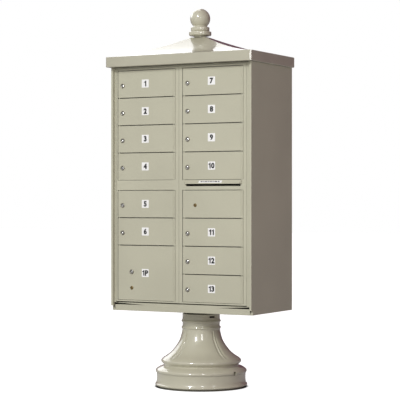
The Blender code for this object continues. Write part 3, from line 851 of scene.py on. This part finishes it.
rivetCard = {
    "radius": 0.0032,
    "height": 0.0013,
    "inset": 0.011,
    "topInset": 0.016,
    "pitch": 0.105,
    "endInset": 0.03,
    "across": (-0.30, 0.12, 6),  # first place, pitch and count along the width
}
backLow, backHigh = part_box("back_panel")
rivetRun = backHigh[2] - backLow[2] - 2 * rivetCard["endInset"]
rivetCount = round(rivetRun / rivetCard["pitch"]) + 1
rivetStep = rivetRun / (rivetCount - 1)
rivetSize = (rivetCard["radius"], rivetCard["radius"], rivetCard["height"])
rivetTurn = (math.radians(90), 0, 0)
rows = []
for x in (backLow[0] + rivetCard["inset"], backHigh[0] - rivetCard["inset"]):
    start = (x, backHigh[1], backLow[2] + rivetCard["endInset"])
    rows.append(rowOf(domeTree, start, (0, 0, rivetStep), rivetCount, rivetTurn, rivetSize, "cabinet"))
firstX, pitch, count = rivetCard["across"]
for z in (backLow[2] + rivetCard["inset"], backHigh[2] - rivetCard["topInset"]):
    start = (firstX, backHigh[1], z)
    rows.append(rowOf(domeTree, start, (pitch, 0, 0), count, rivetTurn, rivetSize, "cabinet"))
publish(joined(rows), "backRivets", "cabinet", "cabinet")
print("strip label and rivets made")

# roof cap

roofCard = {
    "rise": 0.110,  # above the fascia
    "flat": 0.10,  # the level top, as a share of the width
    "rings": 36,
    "corner": 0.006,
    "sheet": 0.003,
    "fascia": 0.0485,
    "lipX": 0.3660,  # the soffit's inner edge
    "lipY": (-0.1780, 0.2180),
    "bend": 0.003,
    "crowding": 1.15,  # rings stand closer near the eaves
    "sweep": 1.5,  # 1 is a straight slope, more curls the eaves out
    "eave": (0.0022, 0.0006),  # first ring: share drawn in, and drop
}


def roofMesh():
    card = roofCard
    low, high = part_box("roof_cap")
    halfX, halfY = high[0], high[1]
    base = low[2]
    edge = base + card["fascia"]

    def ring(x, y, corner, z):
        return [(u, v, z) for u, v in roundedOutline((-x, y[0]), (x, y[1]), corner, 1)]

    rings = [ring(card["lipX"], card["lipY"], card["corner"], base)]
    bend = card["bend"]
    for angle in (0, 30, 60, 90):
        inset = bend * (1 - math.sin(math.radians(angle)))
        lift = bend * (1 - math.cos(math.radians(angle)))
        y = (-halfY + inset, halfY - inset)
        rings.append(ring(halfX - inset, y, card["corner"] - inset * 0.6, base + lift))
    rings.append(ring(halfX, (-halfY, halfY), card["corner"], edge - bend))
    for step in range(card["rings"] + 1):
        part = (step / card["rings"]) ** card["crowding"]
        share = 1 - (1 - card["flat"]) * part
        level = edge + card["rise"] * (1 - share) ** card["sweep"]
        if step == 0:
            share, level = 1 - card["eave"][0], edge - card["eave"][1]
        corner = min(card["corner"] * (0.35 + 0.65 * share), halfY * share * 0.9)
        rings.append(ring(halfX * share, (-halfY * share, halfY * share), corner, level))
    shape = bmesh.new()
    rows = [[shape.verts.new(point) for point in row] for row in rings]
    for lower, upper in zip(rows, rows[1:]):
        for i in range(len(lower)):
            j = (i + 1) % len(lower)
            shape.faces.new((lower[i], lower[j], upper[j], upper[i]))
    shape.faces.new(rows[-1])
    turnedOut(shape)
    helper = helperObject(meshFrom(shape, "roof"))
    sheet = helper.modifiers.new("Sheet", "SOLIDIFY")
    sheet.thickness = card["sheet"]
    sheet.offset = -1
    sheet.use_even_offset = True
    return applied(helper)


publish(roofMesh(), "roofCap", "roof", "cabinet", ["roof_cap"], 24)

# finial and pedestal cover

finialCard = {"ball": 0.0475, "centre": 0.183, "steps": 96}


def finialMesh():
    ball, centre = finialCard["ball"], finialCard["centre"]
    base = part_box("finial")[1][2] - ball - centre
    profile = list(arc((0, centre), ball, 90, -44, 40))
    profile += [(0.0328, 0.1475), (0.0334, 0.1455), (0.0362, 0.1440)]
    profile += list(arc((0.0400, 0.1385), 0.0040, 80, 0, 6))
    profile += [(0.0440, 0.1290), *arc((0.0420, 0.1275), 0.0020, 0, -80, 4)]
    profile += [(0.0410, 0.1240), (0.0420, 0.1228)]
    profile += list(arc((0.0485, 0.1170), 0.0045, 75, 0, 6))
    profile += list(arc((0.0485, 0.1065), 0.0045, 0, -80, 6))
    profile += [(0.0440, 0.1010), (0.0330, 0.1000), (0.0290, 0.0985), (0.0280, 0.0945), (0, 0.0945)]
    mesh = lathe(profile, finialCard["steps"])
    mesh.transform(Matrix.Translation((0, 0, base)))
    return mesh


publish(finialMesh(), "finialBall", "casting", "cabinet", ["finial"], 40)

coverCard = {
    "steps": 360,
    "panels": 4,
    "firstRib": -19.8,  # degrees about Z from +X
    "ribWidth": 3.0,
    "grooveWidth": 5.5,
    "ribHeight": 0.0012,
    "grooveDepth": 0.0034,
    "ribHeights": (0.1390, 0.2690),
    "ribFade": (0.006, 0.012),
    "ribBlend": 1.2,
    "grooveBlend": (3.0, 5.0),
    "fineStep": 0.006,  # between rings where the ribs run
    "fineHeights": (0.13, 0.27),
    "screwHole": (-14.1, 0.0740, 0.2130),  # degrees about Z, height, place along the radius
    "screwRadius": 0.0095,
    "screwDrill": (-0.03, 0.02),
    "keySlot": (-24.2, 0.3325, 0.0890),
    "keySize": (0.0042, 0.012),
    "keyDrill": (-0.02, 0.02),
}


def coverProfile():  # outside of the bell, from its neck to the ground
    points = [(0.0872, 0.345), (0.0888, 0.3438), (0.0890, 0.3200)]
    points += list(arc((0.0892, 0.3103), 0.0045, 60, -60, 8))
    points += [(0.0887, 0.3030), (0.0887, 0.2880)]
    points += list(arc((0.0892, 0.2794), 0.0045, 60, -60, 8))
    points += [(0.0898, 0.2725), (0.0903, 0.2670), (0.0923, 0.2540), (0.0953, 0.2410), (0.0999, 0.2260)]
    points += [(0.1042, 0.2160), (0.1090, 0.2072), (0.1150, 0.1975), (0.1210, 0.1890), (0.1282, 0.1795)]
    points += [(0.1355, 0.1705), (0.1455, 0.1605), (0.1570, 0.1512), (0.1700, 0.1425), (0.1790, 0.1375)]
    points += list(arc((0.1790, 0.1225), 0.0110, 68, -55, 10))
    points += [(0.1815, 0.1105), (0.1782, 0.1068), (0.1768, 0.1040), (0.1772, 0.1012), (0.1800, 0.0995)]
    points += [(0.1880, 0.0970), (0.1970, 0.0935), (0.2040, 0.0900)]
    points += list(arc((0.2054, 0.0755), 0.0110, 62, -50, 10))
    points += [(0.2112, 0.0640), (0.2104, 0.0500), (0.2105, 0.0370), (0.2120, 0.0270), (0.2142, 0.0190)]
    points += list(arc((0.2128, 0.0118), 0.0060, 45, -70, 7))
    points += [(0.2070, 0.0060), (0.2060, 0.0000)]
    return points


def eased(value):
    value = min(1.0, max(0.0, value))
    return value * value * (3 - 2 * value)


def ribAt(angle, height):  # how far the wall is drawn in beside each rib, and out on it
    card = coverCard
    low, high = card["ribHeights"]
    pitch = 360 / card["panels"]
    away = abs((math.degrees(angle) - card["firstRib"] + pitch / 2) % pitch - pitch / 2)
    fade = eased((height - low) / card["ribFade"][0]) * eased((high - height) / card["ribFade"][1])
    reach = card["ribWidth"] / 2 + card["ribBlend"] / 2
    onRib = eased((reach - away) / card["ribBlend"])
    past, blend = card["grooveBlend"]
    groove = (1 - onRib) * eased((card["grooveWidth"] + past - away) / blend)
    return fade * (card["grooveDepth"] * groove - card["ribHeight"] * onRib)


def coverMesh():
    card = coverCard
    low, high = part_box("pedestal_cover")
    centre = ((low[0] + high[0]) / 2, (low[1] + high[1]) / 2)
    inner = [(0.2020, 0.0), (0.2020, 0.066), (0.1970, 0.082), (0.1690, 0.096), (0.1690, 0.120)]
    inner += [(0.1480, 0.146), (0.1270, 0.166), (0.1010, 0.206), (0.0840, 0.260)]
    inner += [(0.0830, 0.300), (0.0830, 0.345)]
    profile = coverProfile()
    fine = []
    ribFoot, ribTop = card["fineHeights"]
    for (r0, z0), (r1, z1) in zip(profile, profile[1:]):
        ribbed = ribFoot < z1 < ribTop
        parts = max(1, round(abs(z0 - z1) / card["fineStep"])) if ribbed else 1
        fine += [(r0 + (r1 - r0) * i / parts, z0 + (z1 - z0) * i / parts) for i in range(parts)]
    loop = [*fine, profile[-1], *inner]
    outerCount = len(fine) + 1
    shape = bmesh.new()
    columns = []
    for step in range(card["steps"]):
        angle = math.tau * step / card["steps"]
        column = []
        for i, (radius, height) in enumerate(loop):
            if i < outerCount:
                radius -= ribAt(angle, height)
            x = centre[0] + radius * math.cos(angle)
            column.append(shape.verts.new((x, centre[1] + radius * math.sin(angle), height)))
        columns.append(column)
    for first, second in zip(columns, columns[1:] + columns[:1]):
        for i in range(len(loop)):
            j = (i + 1) % len(loop)
            shape.faces.new((first[i], first[j], second[j], second[i]))
    turnedOut(shape)
    mesh = meshFrom(shape, "cover")

    def radial(drill, angle, height, reach):  # a drill lying along Z, laid along the radius at that angle
        spot = Matrix.Translation((*centre, height)) @ Matrix.Rotation(math.radians(angle), 4, "Z")
        spot = spot @ Matrix.Translation((reach, 0, 0))
        drill.transform(spot @ Matrix.Rotation(math.radians(90), 4, "Y"))
        return drill

    radius, (back, front) = card["screwRadius"], card["screwDrill"]
    hole = lathe([(0, front), (radius, front), (radius, back), (0, back)], 28)
    half, long = card["keySize"]
    outline = [*arc((0, long), half, 0, 180, 8), *arc((0, -long), half, 180, 360, 8)]
    slot = prism(outline, "z", *card["keyDrill"])
    return cutBy(mesh, [radial(hole, *card["screwHole"]), radial(slot, *card["keySlot"])])


publish(coverMesh(), "pedestalCover", "casting", "cabinet", ["pedestal_cover"], 40)
print("castings made")

# camera, floor and light

cameraCard = {"place": (3.482, -6.235, 0.883), "turn": 29.19, "lens": 135.4, "sensor": 36, "reach": 100}
camera = bpy.data.objects.new("camera", bpy.data.cameras.new("camera"))
camera.data.lens = cameraCard["lens"]
camera.data.sensor_width = cameraCard["sensor"]
camera.data.clip_end = cameraCard["reach"]
camera.location = cameraCard["place"]
camera.rotation_euler = (math.radians(90), 0, math.radians(cameraCard["turn"]))
bpy.context.scene.collection.objects.link(camera)
bpy.context.scene.camera = camera
bpy.context.scene.view_settings.view_transform = "Standard"

floorCard = {
    "size": 30,
    "drop": 0.0005,
    "roughness": 0.9,
    "paint": (0.48, 0.48, 0.475, 1),
    "shade": (0.01, 0.01, 0.01, 1),
    "paintedShadowBlend": (0.006, 0.010),  # inside and outside the cover's rim
    "glow": 0.85,
}
shape = bmesh.new()
bmesh.ops.create_grid(shape, x_segments=1, y_segments=1, size=floorCard["size"])
floorMesh = meshFrom(shape, "floor")
floor = bpy.data.objects.new("floor", floorMesh)
floor.location.z = -floorCard["drop"]
bpy.context.scene.collection.objects.link(floor)
floorPaint = Finish("floorPaint", roughness=floorCard["roughness"])
# a contact shadow is painted on the floor round the cover's foot: dark paint and no glow there
footLow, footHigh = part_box("pedestal_cover")
footCentre = ((footLow[0] + footHigh[0]) / 2, (footLow[1] + footHigh[1]) / 2, 0)
ends = {0: floorPaint.place, 1: footCentre}
reach = floorPaint.add("ShaderNodeVectorMath", {"operation": "DISTANCE"}, ends, output="Value")
footRadius = (footHigh[0] - footLow[0]) / 2
inside, outside = floorCard["paintedShadowBlend"]
clear = floorPaint.ramp(reach, footRadius - inside, footRadius + outside)  # 0 in the painted contact shadow under the cover's rim
floorPaint.feed("colour", floorPaint.mix(clear, floorCard["shade"], floorCard["paint"]))
seen = floorPaint.add("ShaderNodeLightPath", output="Is Camera Ray")
floorPaint.feed("Emission Color", floorPaint.mix(seen * clear, (0, 0, 0, 1), (1, 1, 1, 1)))
floorPaint.feed("Emission Strength", floorCard["glow"])
floorMesh.materials.append(floorPaint.material)

lightCard = {  # degrees about Z from +X, degrees up, both from the object, then distance, size and power
    "key": (-91, 30, 16.0, (1.33, 3.47), 1150.0),
    "nearStrip": (-56, 20, 4.2, (0.32, 1.5), 24.0),
    "farStrip": (-27, 20, 4.2, (0.22, 1.3), 10.0),
    "leftStrip": (178, 32, 4.2, (0.5, 1.5), 16.0),
}
lightAim = Vector((0, 0, 0.75))
for name, (azimuth, elevation, distance, size, power) in lightCard.items():
    light = bpy.data.lights.new(name, "AREA")
    light.shape = "RECTANGLE"
    light.size, light.size_y = size
    light.energy = power
    lamp = bpy.data.objects.new(name, light)
    turn, lift = math.radians(azimuth), math.radians(elevation)
    away = Vector((math.cos(turn) * math.cos(lift), math.sin(turn) * math.cos(lift), math.sin(lift)))
    lamp.location = lightAim + away * distance
    lamp.rotation_euler = away.to_track_quat("Z", "Y").to_euler()
    bpy.context.scene.collection.objects.link(lamp)

skyCard = {
    "dim": (0.104, 0.036, 0.066, 1),
    "front": (0.49, 0.495, 0.48, 1),
    "back": (2.0, 2.0, 2.0, 1),
    "seen": (1, 1, 1, 1),
    "frontAim": -122,  # azimuth about Z of the bright dome's middle
    "edge": 27.3,  # degrees left of +Y where the bright backdrop ends
    "edgeBlend": (-0.012, 0.012),
    "riseBlend": (0.14, 0.30),
    "northBlend": (-0.05, 0.15),
    "frontBlend": (-0.05, 0.80),
}
world = bpy.data.worlds.new("studio")
bpy.context.scene.world = world
world.use_nodes = True
sky = Graph(world.node_tree)
direction = sky.add("ShaderNodeTexCoord", output="Generated")
split = sky.add("ShaderNodeSeparateXYZ", {}, {"Vector": direction})
east, north, rise = (Wire(sky.tree, split.socket.node.outputs[name]) for name in "XYZ")
edge = math.radians(skyCard["edge"])
leftward = east * -math.cos(edge) + north * -math.sin(edge)
sides = sky.ramp(leftward, *skyCard["edgeBlend"]) * sky.ramp(rise, *skyCard["riseBlend"])
backdrop = sides * sky.ramp(north, *skyCard["northBlend"])
aim = math.radians(skyCard["frontAim"])
frontward = east * math.cos(aim) + north * math.sin(aim)
dome = sky.ramp(frontward, *skyCard["frontBlend"])
lighting = sky.mix(backdrop, sky.mix(dome, skyCard["dim"], skyCard["front"]), skyCard["back"])
cameraRay = sky.add("ShaderNodeLightPath", output="Is Camera Ray")
background = sky.tree.nodes["Background"]
plug(sky.tree, background.inputs["Color"], sky.mix(cameraRay, lighting, skyCard["seen"]))
print("light and camera set")
